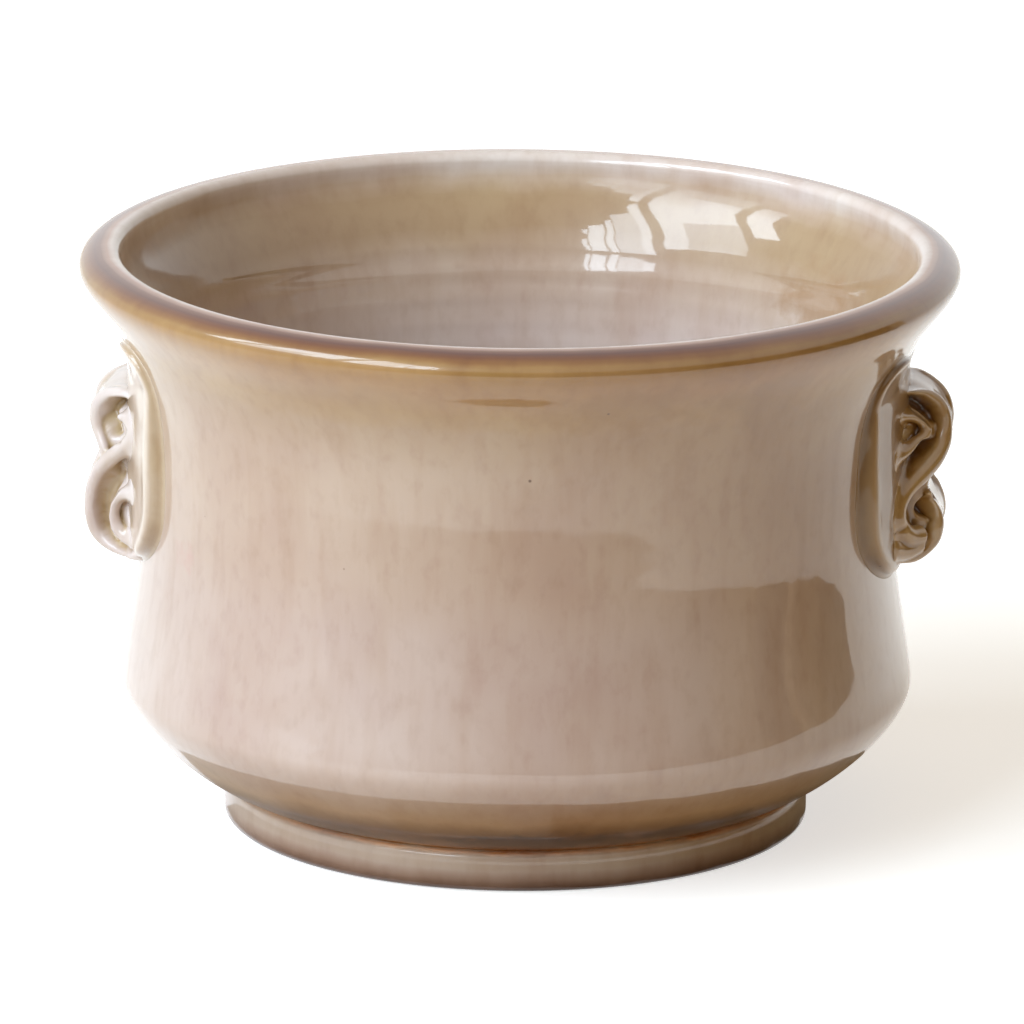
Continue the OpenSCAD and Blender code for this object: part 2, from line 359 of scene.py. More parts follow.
# The same line with its points evenly spaced
def evenLine(points, count):
    lengths = [0]
    for a, b in zip(points, points[1:] + points[:1]):
        lengths.append(lengths[-1] + math.dist(a, b))
    out, k = [], 0
    for i in range(count):
        want = lengths[-1] * i / count
        while lengths[k + 1] < want:
            k += 1
        t = (want - lengths[k]) / max(lengths[k + 1] - lengths[k], 1e-9)
        a, b = points[k], points[(k + 1) % len(points)]
        out.append(tuple(p + (q - p) * t for p, q in zip(a, b)))
    return out


wallLine = [(pot["grooveR"], pot["footH"])] + bowlPoints(40) + bellyPoints(0, 40) + neckPoints(0, 40)
wallLine += lipPoints(20)[:20]


# Radius of the outer wall at a height
def findWallR(z):
    for a, b in zip(wallLine, wallLine[1:]):
        if b[1] >= z:
            return a[0] + (b[0] - a[0]) * max(z - a[1], 0) / max(b[1] - a[1], 1e-9)
    return pot["rimR"]


# The same radius at every quarter of a millimetre, which is quicker to look up
wallTable = [findWallR(i / 4) for i in range(480)]


def wallR(z):
    i = min(max(int(z * 4), 0), 478)
    return wallTable[i] + (wallTable[i + 1] - wallTable[i]) * (z * 4 - i)


def ease(t):
    t = min(max(t, 0), 1)
    return t * t * (3 - 2 * t)


# Thickness of the pad over the wall: it runs out softly below, and follows the flare above
def padThickness(y, z):
    full = pad["faceR"] - wallR(z)
    if z < pad["fadeFrom"] + pad["fadeHeight"]:
        return pad["thinnest"] + (full - pad["thinnest"]) * ease((z - pad["fadeFrom"]) / pad["fadeHeight"])
    beside = ease((abs(y) - pad["flareMiddle"]) / pad["flareReach"])
    flare = pad["thinAtFlare"] + (pad["thickAtFlare"] - pad["thinAtFlare"]) * beside
    return max(full, flare) if z > pad["flareFrom"] else full


def padR(y, z):
    return wallR(z) + padThickness(y, z)


def makePad(name, side, seed):
    p = pad
    half = smoothLine(p["outline"], 12)
    loop = evenLine(half + [(-y, z) for y, z in reversed(half[1:-1])], p["columns"])
    middle = (0, sum(z for y, z in loop) / len(loop))
    rings = []
    for out, share, poolAndShade in p["edge"]:
        ring = []
        for i, (y, z) in enumerate(loop):
            before, after = loop[i - 1], loop[(i + 1) % len(loop)]
            along = Vector((after[0] - before[0], after[1] - before[1])).normalized()
            y, z = y + along.y * out, z - along.x * out
            thick = padThickness(y, z)
            lift = share if share >= 0 else share * p["setIn"] / max(thick, 0.3)
            ring.append((y, z, wallR(z) + thick * lift, poolAndShade))
        rings.append(ring)
    last = rings[-1]
    for k in range(1, p["innerRings"] + 1):
        t = 1 - k / p["innerRings"]
        ring = []
        for y, z, r, poolAndShade in last:
            y, z = middle[0] + (y - middle[0]) * t, middle[1] + (z - middle[1]) * t
            full = p["faceShare"] + (1 - p["faceShare"]) * ease((1 - t) * 4)
            ring.append((y, z, wallR(z) + padThickness(y, z) * full, 0))
        rings.append(ring)
    rings.insert(0, [(middle[0], middle[1], wallR(middle[1]) - p["backDepth"], 0)] * len(loop))
    deselectAll()
    bpy.ops.mesh.primitive_grid_add(x_subdivisions=len(loop), y_subdivisions=len(rings) - 1, size=0.1)
    piece = bpy.context.object
    piece.name = name
    layer = piece.data.attributes.new("pooling", "FLOAT", "POINT")
    for j, ring in enumerate(rings):
        for i in range(len(loop) + 1):
            y, z, r, poolAndShade = ring[i % len(loop)]
            place = Vector((math.sqrt(max(r * r - y * y, 0)), y, z))
            uneven = noise.noise(place / p["unevenSize"] + Vector((seed, 0, 0))) * p["unevenness"] if j > 2 else 0
            vertex = piece.data.vertices[j * (len(loop) + 1) + i]
            vertex.co = (place + Vector((uneven, 0, 0))) * mm
            layer.data[vertex.index].value = poolAndShade
    tidyMesh(piece)
    if side < 0:
        piece.rotation_euler.z = math.pi
        applyPlace(piece)
    smoothFaces(piece)
    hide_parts("right_pad" if side > 0 else "left_pad")
    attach(piece, "root")
    return piece


rightPad = makePad("right_pad_plate", 1, 3.0)
leftPad = makePad("left_pad_plate", -1, 10)
print("pads made", len(rightPad.data.vertices))

# Ears: a pressed block with straps laid on both slanted sides and grooves pressed between them, melted together
# under the glaze. The left one is the same piece turned upside down, finished by hand a little otherwise.
ear = {
    "slant": 48.8, "noseX": 89.4, "noseHalf": 4.5, "coreInset": 0.9, "strapSink": 0.45, "turnHeight": 148,
    "middle": 74.5, "straightHeight": 9, "bowHeight": 15, "bow": 7.5,
    "voxel": 0.34, "smoothing": 6, "lateSmoothing": 2, "poolingAndShadeRounds": 70, "unevenness": 0.26, "unevenSize": 5.5,
    # the root's fillet, and where towards the ends it dies out to a share
    "rootFillet": 1.7, "filletFrom": 11, "filletFade": 5, "filletLess": 0.85,
    # grooves: share of their half width that is flat, the slope beside it, and how deep below the side they reach in
    "grooveFlat": 0.35, "grooveSlope": 1.15, "grooveReach": 5,
    # outline of the block seen from the front, out from the pole and up
    "outline": [
        (73.6, 91.2), (76, 92), (78.5, 92.8), (80.6, 93.2), (82.4, 92.8), (84.4, 91.9), (86, 90.4),
        (87.2, 88.6), (88.2, 86.2), (88.6, 83.3), (88.4, 81.2), (87.9, 79.4), (87.1, 77.8), (86, 76.3),
        (84.9, 74.9), (84.2, 73.8), (84.2, 72.4), (84.8, 70.9), (85.7, 69.3), (86.5, 67.7), (87.1, 66),
        (87.2, 64.3), (86.8, 62.4), (86, 60.8), (84.6, 59.2), (82.8, 57.9), (80.8, 57.3), (78.5, 57.6),
        (76, 58.3), (73.6, 59.2),
    ],
}
# Middle lines of the straps, with their radius, and of the grooves, with their half width and depth
rightDetail = {
    "straps": [
        [
            (73.6, 90.6, 0.9), (76, 91.4, 0.9), (78.6, 92, 1.0), (81, 92.2, 1.1), (83.2, 91.7, 1.25),
            (85.1, 90.4, 1.4), (86.6, 88.4, 1.5), (87.3, 86.2, 1.6), (87.1, 83.4, 1.9), (86.4, 81, 2.2),
            (85, 78.9, 2.3), (83, 77, 2.3), (81, 75.2, 2.2), (79.2, 73.3, 2.2), (78, 71, 2.2),
            (77.8, 68.2, 2.2), (78.8, 65.4, 2.3), (80.6, 63.6, 2.3), (82.8, 63.2, 2.2),
        ],
        [
            (73.6, 60, 0.9), (76, 59.2, 1.0), (78.8, 58.8, 1.2), (81.2, 58.9, 1.6), (83.4, 60, 1.8),
            (85.1, 62, 1.9), (85.9, 64.3, 1.8), (86.1, 66.4, 1.4), (85.5, 68.6, 1.1), (84.7, 70.5, 0.9),
            (84.2, 72.4, 0.8),
        ],
        [
            (75.5, 89.3, 1.2), (78.5, 89.2, 1.4), (80.7, 88.7, 1.4), (82.6, 87.4, 1.4), (83.6, 85.6, 1.4),
            (83, 84.1, 1.35), (81.2, 83, 1.3), (79.4, 81.9, 1.3), (77.3, 81, 1.3), (75.5, 80.8, 1.2),
        ],
        [(76.5, 62, 2.6), (79.4, 61, 2.6), (82.4, 61.8, 2.4)],
    ],
    "grooves": [
        [
            (77.4, 91.3, 1.4, 3.0), (80, 91.3, 1.5, 3.6), (82.6, 90.4, 1.45, 3.6), (84.6, 88.6, 1.4, 3.2),
            (85.4, 87.0, 1.1, 1.8),
        ],
        [
            (83.5, 82.4, 1.2, 2.0), (82, 80.2, 1.35, 2.8), (79.6, 78.4, 1.3, 2.8), (77.4, 77, 1.15, 2.4),
            (75.8, 76, 0.9, 1.4),
        ],
        [(77.8, 86, 1.15, 3.2), (78.7, 86, 1.15, 3.2)],
        [(78.0, 84.8, 1.0, 1.8), (78.1, 83.6, 0.9, 1.0)],
        [(84.3, 70.2, 1.1, 2.2), (83.9, 68.4, 1.7, 3.4), (84.4, 67.6, 1.3, 2.8)],
        [(77.6, 66.4, 0.8, 0.5), (79.6, 66.4, 0.8, 0.4)],
    ],
}
leftDetail = {
    "straps": [
        [
            (73.6, 90.6, 0.9), (76, 91.4, 0.9), (79, 92.1, 1.0), (81.8, 92.2, 1.2), (84.5, 90.9, 1.4),
            (86.4, 88.6, 1.5), (87.2, 85.6, 1.5), (87.2, 82.2, 1.5), (86.7, 79, 1.5), (85.6, 76.2, 1.6),
            (84, 73.6, 1.7), (82, 71.2, 1.7), (79.8, 68.9, 1.6), (78.1, 66.6, 1.5), (77.7, 64.4, 1.35),
            (78.9, 62.8, 1.2), (80.6, 62.4, 1.1),
        ],
        [
            (73.6, 59.8, 0.9), (76, 59, 1.0), (78.8, 58.6, 1.15), (81.4, 58.8, 1.35), (83.8, 59.8, 1.5),
            (85.5, 61.8, 1.6), (86.1, 64, 1.5), (85.8, 66.4, 1.3), (85, 68.6, 1.2), (84.3, 70.6, 1.1),
            (84.2, 72.6, 1.0),
        ],
        [
            (75.5, 77.6, 1.2), (78.2, 77.9, 1.3), (80.6, 79.3, 1.35), (82, 81.5, 1.4), (82.3, 84.2, 1.4),
            (81.3, 86.7, 1.4), (79.3, 88.4, 1.3), (76, 89.2, 1.2),
        ],
    ],
    "grooves": [
        [
            (76.4, 69.2, 0.9, 1.2), (78, 71.8, 1.2, 1.8), (80.5, 74.8, 1.35, 2.2), (82.8, 77.6, 1.4, 2.2),
            (84.4, 80.6, 1.35, 2.1), (84.9, 84, 1.3, 2.0), (84.3, 87.4, 1.2, 1.9), (82.6, 90, 1.1, 1.5),
        ],
        [
            (77.4, 60.6, 1.0, 1.8), (80, 60.2, 1.1, 2.4), (82.4, 61.1, 1.2, 2.6), (83.7, 62.9, 1.4, 2.6),
            (82.6, 65.2, 1.3, 2.8), (81.9, 66.8, 1.2, 3.4),
        ],
        [(76.8, 61.6, 0.8, 1.4), (76.8, 63.4, 0.7, 1.2)],
        [(78.2, 81.2, 1.0, 2.6), (77.9, 83.4, 1.15, 2.2)],
        [(79.6, 91.2, 1.1, 0.9), (81.6, 90.8, 0.9, 0.7)],
    ],
}


# Half thickness of the ear at a distance out from the pole: less towards its upper and lower ends
def earHalf(x, z):
    bow = ease((abs(z - ear["middle"]) - ear["straightHeight"]) / ear["bowHeight"]) * ear["bow"]
    return ear["noseHalf"] + max((ear["noseX"] - x) * math.tan(math.radians(ear["slant"])) - bow, -1.5)


def makeEarBlock():
    outline = smoothLine(ear["outline"], 3)
    deselectAll()
    bpy.ops.mesh.primitive_circle_add(vertices=len(outline), radius=0.05, fill_type="NOTHING")
    block = bpy.context.object
    for vertex, (x, z) in zip(block.data.vertices, outline):
        vertex.co = (x * mm, -(earHalf(x, z) - ear["coreInset"]) * mm, z * mm)
    count = len(outline)
    bpy.ops.object.mode_set(mode="EDIT")
    bpy.ops.mesh.select_all(action="SELECT")
    bpy.ops.mesh.edge_face_add()
    bpy.ops.mesh.extrude_region_move()
    bpy.ops.object.mode_set(mode="OBJECT")
    for vertex in block.data.vertices[count:]:
        vertex.co.y = -vertex.co.y
    tidyMesh(block)
    return block


def layStrap(points, face):
    line = smoothLine(points, 5)
    deselectAll()
    bpy.ops.curve.primitive_nurbs_path_add()
    strap = bpy.context.object
    strap.data.splines.clear()
    spline = strap.data.splines.new("POLY")
    spline.points.add(len(line) - 1)
    for point, (x, z, radius) in zip(spline.points, line):
        point.co = (x * mm, face * (earHalf(x, z) - ear["strapSink"] * radius) * mm, z * mm, 1)
        point.radius = radius
    strap.data.dimensions = "3D"
    strap.data.bevel_depth = mm
    strap.data.bevel_resolution = 5
    strap.data.use_fill_caps = True
    pick(strap)
    bpy.ops.object.convert(target="MESH")
    return bpy.context.object


# Moves every vertex by what shift gives for its place and normal
def displace(piece, shift):
    normals = [vertex.normal.copy() for vertex in piece.data.vertices]
    for vertex, normal in zip(piece.data.vertices, normals):
        vertex.co += shift(vertex.co / mm, normal) * mm


# How deep the grooves press into the slanted sides at a place seen from the front
def grooveDepth(grooves, x, z):
    flat, slope = ear["grooveFlat"], ear["grooveSlope"]
    deepest = 0
    for line in grooves:
        for (ax, az, aw, ad), (bx, bz, bw, bd) in zip(line, line[1:]):
            along = ((x - ax) * (bx - ax) + (z - az) * (bz - az)) / ((bx - ax) ** 2 + (bz - az) ** 2)
            along = min(max(along, 0), 1)
            away = math.hypot(x - ax - (bx - ax) * along, z - az - (bz - az) * along) / (aw + (bw - aw) * along)
            if away < flat + slope:
                deepest = max(deepest, (ad + (bd - ad) * along) * (1 - ease((away - flat) / slope)))
    return deepest


def grooveShift(grooves, place):
    x, y, z = place
    if abs(y) < earHalf(x, z) - ear["grooveReach"]:
        return Vector((0, 0, 0))
    lean = math.radians(ear["slant"])
    inwards = Vector((-math.sin(lean), -math.cos(lean) if y > 0 else math.cos(lean), 0))
    return inwards * grooveDepth(grooves, x, z)


# Spreads the foot of the ear over the pad in a round fillet, as glaze gathers in the corner
def rootShift(place, normal):
    nearEnd = ease((abs(place.z - ear["middle"]) - ear["filletFrom"]) / ear["filletFade"])
    r = ear["rootFillet"] * (1 - ear["filletLess"] * nearEnd)
    short = min(max(r - (math.hypot(place.x, place.y) - padR(place.y, place.z)), 0), r)
    around = Vector((place.x, place.y, 0)).normalized()
    flat = normal - around * normal.dot(around)
    return flat.normalized() * (r - math.sqrt(r * r - short * short)) if flat.length > 0.05 else flat


# How far a softened copy lies outside the surface: above zero in hollows, below zero on ridges
# the glaze ramps turn this into pooled glaze and painted shade in hollows
def storePoolingAndShade(piece, rounds):
    pick(piece)
    bpy.ops.object.duplicate()
    soft = bpy.context.object
    modify(soft, "SMOOTH", factor=0.5, iterations=rounds)
    layer = piece.data.attributes.new("pooling", "FLOAT", "POINT")
    layer.data.foreach_set("value", [
        (b.co - a.co).dot(a.normal) / mm for a, b in zip(piece.data.vertices, soft.data.vertices)
    ])
    pick(soft)
    bpy.ops.object.delete()


def makeEar(name, side, detail, seed):
    parts = [makeEarBlock()] + [layStrap(points, face) for points in detail["straps"] for face in (-1, 1)]
    piece = pick(*parts)
    bpy.ops.object.join()
    piece.name = name
    piece.data.remesh_voxel_size = ear["voxel"] * mm
    bpy.ops.object.voxel_remesh()
    modify(piece, "SMOOTH", factor=0.5, iterations=ear["smoothing"])
    displace(piece, lambda place, normal: grooveShift(detail["grooves"], place))
    modify(piece, "SMOOTH", factor=0.5, iterations=ear["lateSmoothing"])
    displace(piece, rootShift)
    offset, size = Vector((seed, 0, 0)), ear["unevenSize"]
    displace(piece, lambda place, normal: normal * ear["unevenness"] * noise.noise(place / size + offset))
    storePoolingAndShade(piece, ear["poolingAndShadeRounds"])
    if side < 0:
        piece.rotation_euler.y = math.pi
        piece.location.z = ear["turnHeight"] * mm
        applyPlace(piece)
    smoothFaces(piece)
    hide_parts("right_scroll" if side > 0 else "left_scroll")
    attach(piece, "root")
    return piece


rightEar = makeEar("right_scroll_ear", 1, rightDetail, 2.0)
leftEar = makeEar("left_scroll_ear", -1, leftDetail, 5.0)
print("ears made", len(rightEar.data.vertices))


# A hex colour as linear values
def linear(code):
    parts = [int(code[i:i + 2], 16) / 255 for i in (1, 3, 5)]
    return tuple(p / 12.92 if p <= 0.04045 else ((p + 0.055) / 1.055) ** 2.4 for p in parts) + (1,)


# Adds a node, sets its values and joins its inputs to the outputs given
def addNode(tree, kind, settings=(), links=()):
    node = tree.nodes.new("ShaderNode" + kind)
    for key, value in dict(settings).items():
        if key == "stops":
            while len(node.color_ramp.elements) < len(value):
                node.color_ramp.elements.new(1)
            for element, (at, code) in zip(node.color_ramp.elements, value):
                element.position = at
                element.color = linear(code) if isinstance(code, str) else (code, code, code, 1)
        elif isinstance(key, int) or key in node.inputs:
            node.inputs[key].default_value = value
        else:
            setattr(node, key, value)
    for key, source in dict(links).items():
        tree.links.new(source, node.inputs[key])
    return node


def newMaterial(name):
    material = bpy.data.materials.new(name)
    material.use_nodes = True
    material.node_tree.nodes.clear()
    return material, material.node_tree


# Stoneware under a thick glossy feldspar glaze, fired in a kiln: it runs thin and brown over the lip's edge, pools
# tan below the lip, and is a cream that turns mauve where it lies thick. At the bottom the body's ramp also holds
# painted light and painted shade.
# Each ramp's stops are millimetres of the attribute that leads it. Gloss is how much clear glaze lies on top:
# little where it ran thin above the foot and inside the lip.
bodyGlaze = {
    "attribute": "glazeRun", "from": 0, "to": 300, "shift": 3.2, "shiftSize": 16,
    # the break along the lip keeps a straight edge, so its shift is calmed between these runs
    "calm": {1: 121, 2: 126, 3: 1, 4: 0.22}, "again": {1: 131, 2: 138, 3: 0, 4: 0.8},
    "gloss": [(0, 0.5), (4, 0.1), (14, 0.1), (24, 1), (133.4, 1), (135.2, 0.15), (138.4, 0.15), (141.4, 1)],
    "stops": [
        # the first stops, pale to orange, are painted light in the groove's shade; 4.5 to 16 darken the bowl above
        # the groove, partly iron stain and partly painted shade and painted dark reflection
        (0.0, "#fff0e0"), (1.8, "#fcd8b0"), (3, "#d08c4c"), (4.5, "#8a5e38"), (9, "#7c5c40"), (13, "#7c5c40"),
        (16, "#967759"), (20, "#bea28a"), (25, "#c0aa9e"), (32, "#c8b4aa"), (38, "#cab7ae"), (60, "#c6b2a8"),
        (72, "#c4ae9f"), (96, "#c3ad9b"), (104, "#bfa78f"), (110, "#c0a278"), (117, "#bf9a6c"),
        (122, "#b08a58"), (124.4, "#9c7640"), (125.8, "#7a4616"), (127.9, "#541e02"), (129.1, "#723e1c"),
        (130.3, "#ba9078"), (131.4, "#e4d6ce"), (134.5, "#e2d5cc"), (137, "#c6b09a"), (141, "#ab8e68"),
        (149, "#ab8e6a"), (156, "#bea692"), (172, "#d0c0b8"), (215, "#d0c0b8"), (290, "#ccbab0"),
    ],
}
# Over pads and ears each ramp follows how deep a place lies: paler on ridges, darker in hollows, partly pooled glaze
# and partly painted shade
padGlaze = {
    "attribute": "pooling", "from": -1, "to": 1.4, "shift": 0.25, "shiftSize": 7, "gloss": [(-1, 1), (1.4, 1)],
    "stops": [
        (-1, "#e2d6ca"), (-0.5, "#ddd0c2"), (-0.1, "#d6c7b8"), (0.15, "#d0bfac"), (0.6, "#c2ad92"),
        (1.1, "#a68a66"), (1.4, "#94764e"),
    ],
}
# The right pad's copy is darker: painted shade for the side away from the window light
rightPadShadedGlaze = {
    "attribute": "pooling", "from": -1, "to": 1.4, "shift": 0.25, "shiftSize": 7, "gloss": [(-1, 0.6), (1.4, 0.6)],
    "stops": [
        (-1, "#c8b49c"), (-0.5, "#bfa88c"), (-0.1, "#ab8e68"), (0.15, "#a08258"), (0.6, "#927448"),
        (1.1, "#7c6038"), (1.4, "#6c5028"),
    ],
}
# The right ear's copy is darker: painted shade for the side away from the window light
rightEarShadedGlaze = {
    "attribute": "pooling", "from": -1, "to": 1.4, "shift": 0.12, "shiftSize": 4, "gloss": [(-1, 1), (1.4, 1)],
    "stops": [
        (-1, "#d2bd9c"), (-0.3, "#c8ae88"), (-0.05, "#b99a6c"), (0.12, "#a4834e"), (0.35, "#805a28"),
        (0.7, "#583810"), (1.4, "#3c2408"),
    ],
}
# The left ear's copy is paler, painted light for the side lit by the window, so its hollows are tan
leftEarLitGlaze = {
    "attribute": "pooling", "from": -1, "to": 1.4, "shift": 0.12, "shiftSize": 4, "gloss": [(-1, 1), (1.4, 1)],
    "stops": [
        (-1, "#e4dcdc"), (-0.3, "#dfd6d4"), (-0.05, "#d6cac2"), (0.12, "#c9b8a4"), (0.35, "#b8a27c"),
        (0.7, "#9a7a46"), (1.4, "#745022"),
    ],
}
# The foot ring by height: darker towards the bottom, partly bare clay wiped to stand and partly painted contact
# shadow; at the top a pale band of painted light against the shade under the bowl, then orange where glaze thins at
# the groove
footGlazeAndShade = {
    "attribute": "footHeight", "from": 0, "to": 8.5, "shift": 0.8, "shiftSize": 9, "gloss": [(0, 0.7), (8.5, 0.7)],
    "stops": [
        (0, "#4a3424"), (0.8, "#64483a"), (2.0, "#8a6e5e"), (3.2, "#a89082"), (4.4, "#beac9f"),
        (7.5, "#ccbcae"), (7.9, "#ead4c0"), (8.2, "#e0b080"), (8.5, "#d09860"),
    ],
}
# Layers that darken every ramp: size in mm, stretch up the wall, noise range that shows, colour and how much of it
glazeLayers = [
    {"size": size, "up": up, "detail": detail, "low": low, "high": high, "colour": colour, "most": most}
    for size, up, detail, low, high, colour, most in (
        (34, 1.4, 3, 0.42, 0.66, "#c9a184", 0.26), (26, 1.0, 2, 0.5, 0.72, "#dcc6d0", 0.2),
        (4.2, 7.0, 4, 0.45, 0.75, "#d8c0a4", 0.24), (2.6, 1.6, 5, 0.5, 0.8, "#c8ae96", 0.2),
    )
]
# Iron specks burnt through the glaze: spacing in mm, radius as a share of it, and the share of cells without one
glazeSpecks = {"size": 7.5, "radius": 0.055, "core": 0.4, "share": 0.83, "most": 0.85, "colour": "#5a3a20"}
# The fired surface: soft glaze below, a clear hard coat above, and the slow waves of a poured glaze
glazeSkin = {
    "waveSize": 11, "waveStrength": 0.12, "waveDepth": 0.4,
    "shader": {"Roughness": 0.32, "IOR": 1.35, "Coat Roughness": 0.045, "Coat IOR": 1.52},
}


def placeOnRamp(g, stops):
    return [((at - g["from"]) / (g["to"] - g["from"]), value) for at, value in stops]


def mixColour(tree, kind, code, much, below):
    mixed = addNode(tree, "Mix", {"data_type": "RGBA", "blend_type": kind, 7: linear(code)}, {0: much, 6: below})
    return mixed.outputs[2]


# A ragged patch of colour round a place in mm, with its half widths in mm
def addStain(tree, where, stain, colour):
    centred = addNode(tree, "Mapping", {
        "Location": tuple(-c / w for c, w in zip(stain["place"], stain["spread"])),
        "Scale": tuple(1 / (w * mm) for w in stain["spread"]),
    }, {"Vector": where})
    away = addNode(tree, "VectorMath", {"operation": "LENGTH"}, {0: centred.outputs[0]})
    cloud = addNode(tree, "TexNoise", {"Scale": 1 / (stain["grain"] * mm), "Detail": 4}, {"Vector": where})
    fade = addNode(tree, "Math", {"operation": "MULTIPLY", 1: 0.5}, {0: away.outputs["Value"]})
    ragged = addNode(tree, "Math", {"operation": "SUBTRACT"}, {0: cloud.outputs["Fac"], 1: fade.outputs[0]})
    much = addNode(tree, "MapRange", {1: 0.0, 2: stain["softness"], 4: stain["most"]}, {0: ragged.outputs[0]})
    return mixColour(tree, "MIX", stain["colour"], much.outputs[0], colour)


def addSpecks(tree, where, colour):
    p = glazeSpecks
    cells = addNode(tree, "TexVoronoi", {"Scale": 1 / (p["size"] * mm)}, {"Vector": where})
    chance = addNode(tree, "SeparateColor", {}, {0: cells.outputs["Color"]})
    chosen = addNode(tree, "Math", {"operation": "GREATER_THAN", 1: p["share"]}, {0: chance.outputs[0]})
    ends = {1: p["radius"], 2: p["radius"] * p["core"], 3: 0, 4: p["most"]}
    dot = addNode(tree, "MapRange", ends, {0: cells.outputs["Distance"]})
    speck = addNode(tree, "Math", {"operation": "MULTIPLY"}, {0: dot.outputs[0], 1: chosen.outputs[0]})
    return mixColour(tree, "MIX", p["colour"], speck.outputs[0], colour)


def glazeMaterial(name, g, stains=()):
    material, tree = newMaterial(name)
    where = addNode(tree, "TexCoord").outputs["Object"]
    run = addNode(tree, "Attribute", {"attribute_name": g["attribute"]}).outputs["Fac"]
    wander = addNode(tree, "TexNoise", {"Scale": 1 / (g["shiftSize"] * mm), "Detail": 3}, {"Vector": where})
    ends = {1: 0.25, 2: 0.75, 3: -g["shift"] / 2, 4: g["shift"] / 2}
    shift = addNode(tree, "MapRange", ends, {0: wander.outputs["Fac"]})
    if "calm" in g:
        calm = addNode(tree, "MapRange", g["calm"], {0: run})
        again = addNode(tree, "MapRange", g["again"], {0: run})
        steady = addNode(tree, "Math", {"operation": "ADD"}, {0: calm.outputs[0], 1: again.outputs[0]})
        shift = addNode(tree, "Math", {"operation": "MULTIPLY"}, {0: shift.outputs[0], 1: steady.outputs[0]})
    moved = addNode(tree, "Math", {"operation": "ADD"}, {0: run, 1: shift.outputs[0]})
    share = addNode(tree, "MapRange", {1: g["from"], 2: g["to"]}, {0: moved.outputs[0]}).outputs[0]
    gloss = addNode(tree, "ValToRGB", {"stops": placeOnRamp(g, g["gloss"])}, {"Fac": share})
    colour = addNode(tree, "ValToRGB", {"stops": placeOnRamp(g, g["stops"])}, {"Fac": share}).outputs[0]
    for layer in glazeLayers:
        place = addNode(tree, "Mapping", {"Scale": (1, 1, 1 / layer["up"])}, {"Vector": where})
        pattern = {"Scale": 1 / (layer["size"] * mm), "Detail": layer["detail"]}
        cloud = addNode(tree, "TexNoise", pattern, {"Vector": place.outputs[0]})
        ends = {1: layer["low"], 2: layer["high"], 4: layer["most"]}
        much = addNode(tree, "MapRange", ends, {0: cloud.outputs["Fac"]})
        colour = mixColour(tree, "MULTIPLY", layer["colour"], much.outputs[0], colour)
    for stain in stains:
        colour = addStain(tree, where, stain, colour)
    colour = addSpecks(tree, where, colour)
    waves = addNode(tree, "TexNoise", {"Scale": 1 / (glazeSkin["waveSize"] * mm), "Detail": 2}, {"Vector": where})
    bend = {"Strength": glazeSkin["waveStrength"], "Distance": glazeSkin["waveDepth"] * mm}
    skin = addNode(tree, "Bump", bend, {"Height": waves.outputs["Fac"]}).outputs[0]
    inputs = {"Base Color": colour, "Coat Weight": gloss.outputs["Color"], "Normal": skin, "Coat Normal": skin}
    shader = addNode(tree, "BsdfPrincipled", glazeSkin["shader"], inputs)
    addNode(tree, "OutputMaterial", {}, {"Surface": shader.outputs[0]})
    return material


# Brown places: crackle inside by the right ear, iron showing above the groove, thin tan patches below the lip,
# and a pink spot on the wall. Place and half widths in mm
bodyStains = [
    {"place": place, "spread": spread, "grain": grain, "softness": softness, "most": most, "colour": colour}
    for place, spread, grain, softness, most, colour in (
        ((60, 38, 98), (13, 22, 9), 5, 0.3, 0.55, "#a17a52"),
        ((66, 20, 88), (10, 16, 8), 3.5, 0.25, 0.5, "#8d6a45"),
        ((8, -66, 12), (26, 12, 3.6), 6, 0.25, 0.7, "#4a3524"),
        ((40, -54, 13), (24, 16, 3.4), 6, 0.25, 0.65, "#503823"),
        ((-34, -58, 12), (22, 14, 3.2), 6, 0.25, 0.6, "#5a4230"),
        ((24, -80, 107), (20, 12, 6.5), 7, 0.3, 0.5, "#a58154"),
        ((-30, -78, 106), (26, 14, 6), 7, 0.35, 0.35, "#b0906a"),
        ((52, -66, 106), (22, 14, 7), 6, 0.35, 0.4, "#a08058"),
        ((-66, -42, 64), (3.5, 6, 4), 3, 0.4, 0.4, "#c09086"),
    )
]

potBody.data.materials.append(glazeMaterial("stoneware_glaze_on_body", bodyGlaze, bodyStains))
rightPad.data.materials.append(glazeMaterial("right_pad_plate_glaze_painted_shade", rightPadShadedGlaze))
leftPad.data.materials.append(glazeMaterial("left_pad_plate_glaze", padGlaze))
rightEar.data.materials.append(glazeMaterial("right_scroll_ear_glaze_painted_shade", rightEarShadedGlaze))
leftEar.data.materials.append(glazeMaterial("left_scroll_ear_glaze_painted_light", leftEarLitGlaze))

layer = footRing.data.attributes.new("footHeight", "FLOAT", "POINT")
layer.data.foreach_set("value", [vertex.co.z / mm for vertex in footRing.data.vertices])
footRing.data.materials.append(glazeMaterial("thin_glaze_and_painted_shade_on_foot", footGlazeAndShade))
print("glaze made")

